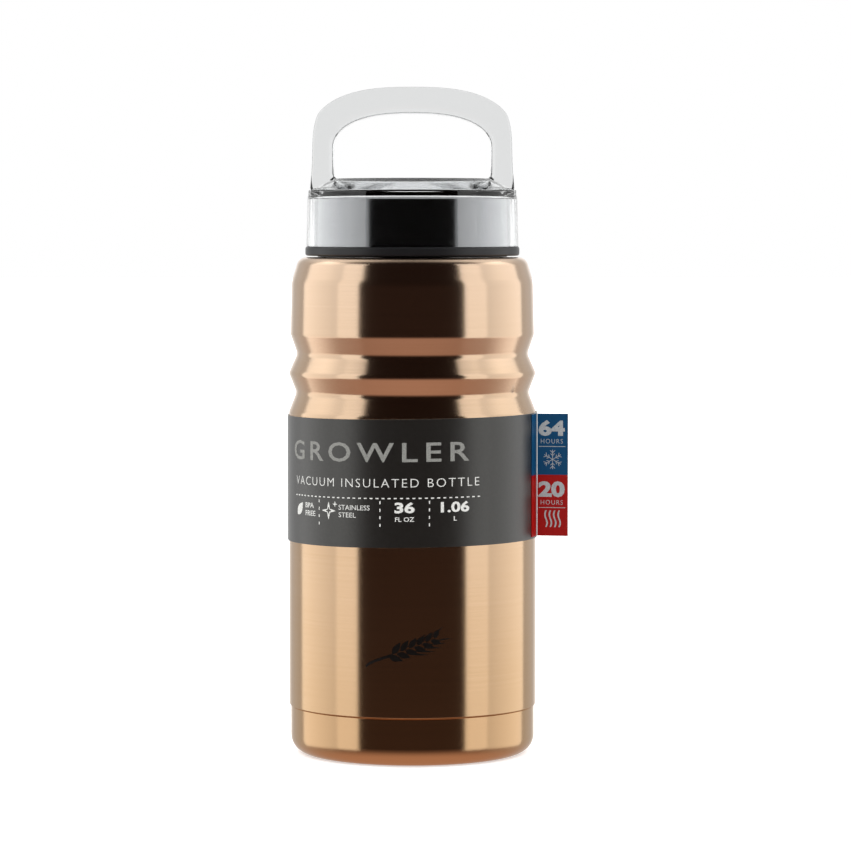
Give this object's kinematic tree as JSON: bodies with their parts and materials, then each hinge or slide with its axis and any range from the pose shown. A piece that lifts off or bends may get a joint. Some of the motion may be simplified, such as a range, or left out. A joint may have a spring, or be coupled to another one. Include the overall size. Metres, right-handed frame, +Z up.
{
  "type": "growler",
  "caption": "Vacuum-insulated steel drinks bottle with rolled grooves, a clear screw lid with a carrying loop, and a printed card sleeve with a side tag.",
  "frame": {"origin": "centre of the underside, on the surface the bottle stands on", "axes": "+Z up along the bottle's axis, -Y towards the printed front, +X towards the side tag"},
  "size_m": [0.1111, 0.0992, 0.2637],
  "materials": {
    "copper_shell": "copper-toned lacquer over steel brushed round the body",
    "copper_base": "copper-toned lacquer over brushed steel, a shade deeper",
    "bare_steel": "bare brushed stainless steel",
    "base_rubber": "matte black rubber",
    "solder_glass": "fused sealing glass",
    "getter_metal": "sintered dull grey metal",
    "spring_steel": "bright spring strip",
    "foil": "bright crinkled foil",
    "silicone": "translucent white silicone, matte",
    "clear_copolyester": "clear moulded plastic, high gloss",
    "polished_trim": "mirror-polished smoke chrome",
    "insulating_foam": "fine closed-cell foam",
    "black_moulding": "black moulded plastic, satin",
    "coated_card": "dark grey coated card with pale grey print",
    "tag_print": "coated card printed blue above and red below"
  },
  "bodies": {
    "flask": {"outer_shell": "copper_shell", "threaded_neck": "bare_steel", "inner_flask": "bare_steel", "inner_bottom": "bare_steel", "outer_bottom": "bare_steel", "base_cup": "copper_base", "base_pad": "base_rubber", "seal_bead": "solder_glass", "getter": "getter_metal", "getter_clip": "spring_steel", "radiation_foil": "foil"},
    "seal": {"lip_gasket": "silicone"},
    "lid": {"lid_shell": "clear_copolyester", "lid_trim": "polished_trim", "lid_foam": "insulating_foam", "lid_liner": "black_moulding", "plug_cup": "black_moulding", "plug_foam": "insulating_foam"},
    "sleeve": {"label_sleeve": "coated_card", "tag_strip": "tag_print"},
    "tag": {"tag_front": "tag_print", "tag_back": "coated_card"}
  },
  "joints": [
    {"name": "lid_lift", "type": "slide", "parent": "flask", "child": "seal", "axis": [0, 0, 1], "range_m": [0, 0.0201]},
    {"name": "lid_turn", "type": "hinge", "parent": "seal", "child": "lid", "pos_m": [0, 0, 0.2], "axis": [0, 0, 1], "range_deg": [0, 1200]},
    {"name": "sleeve_slide", "type": "slide", "parent": "flask", "child": "sleeve", "axis": [0, 0, 1], "range_m": [-0.0845, 0.19]},
    {"name": "tag_fold", "type": "hinge", "parent": "sleeve", "child": "tag", "pos_m": [0.04944, -0.00872, 0.1104], "axis": [0, 0, 1], "range_deg": [-75, 75]}
  ],
  "couplings": [
    {"joint": "lid_lift", "follows": "lid_turn", "m_per_rad": 0.00095493}
  ]
}
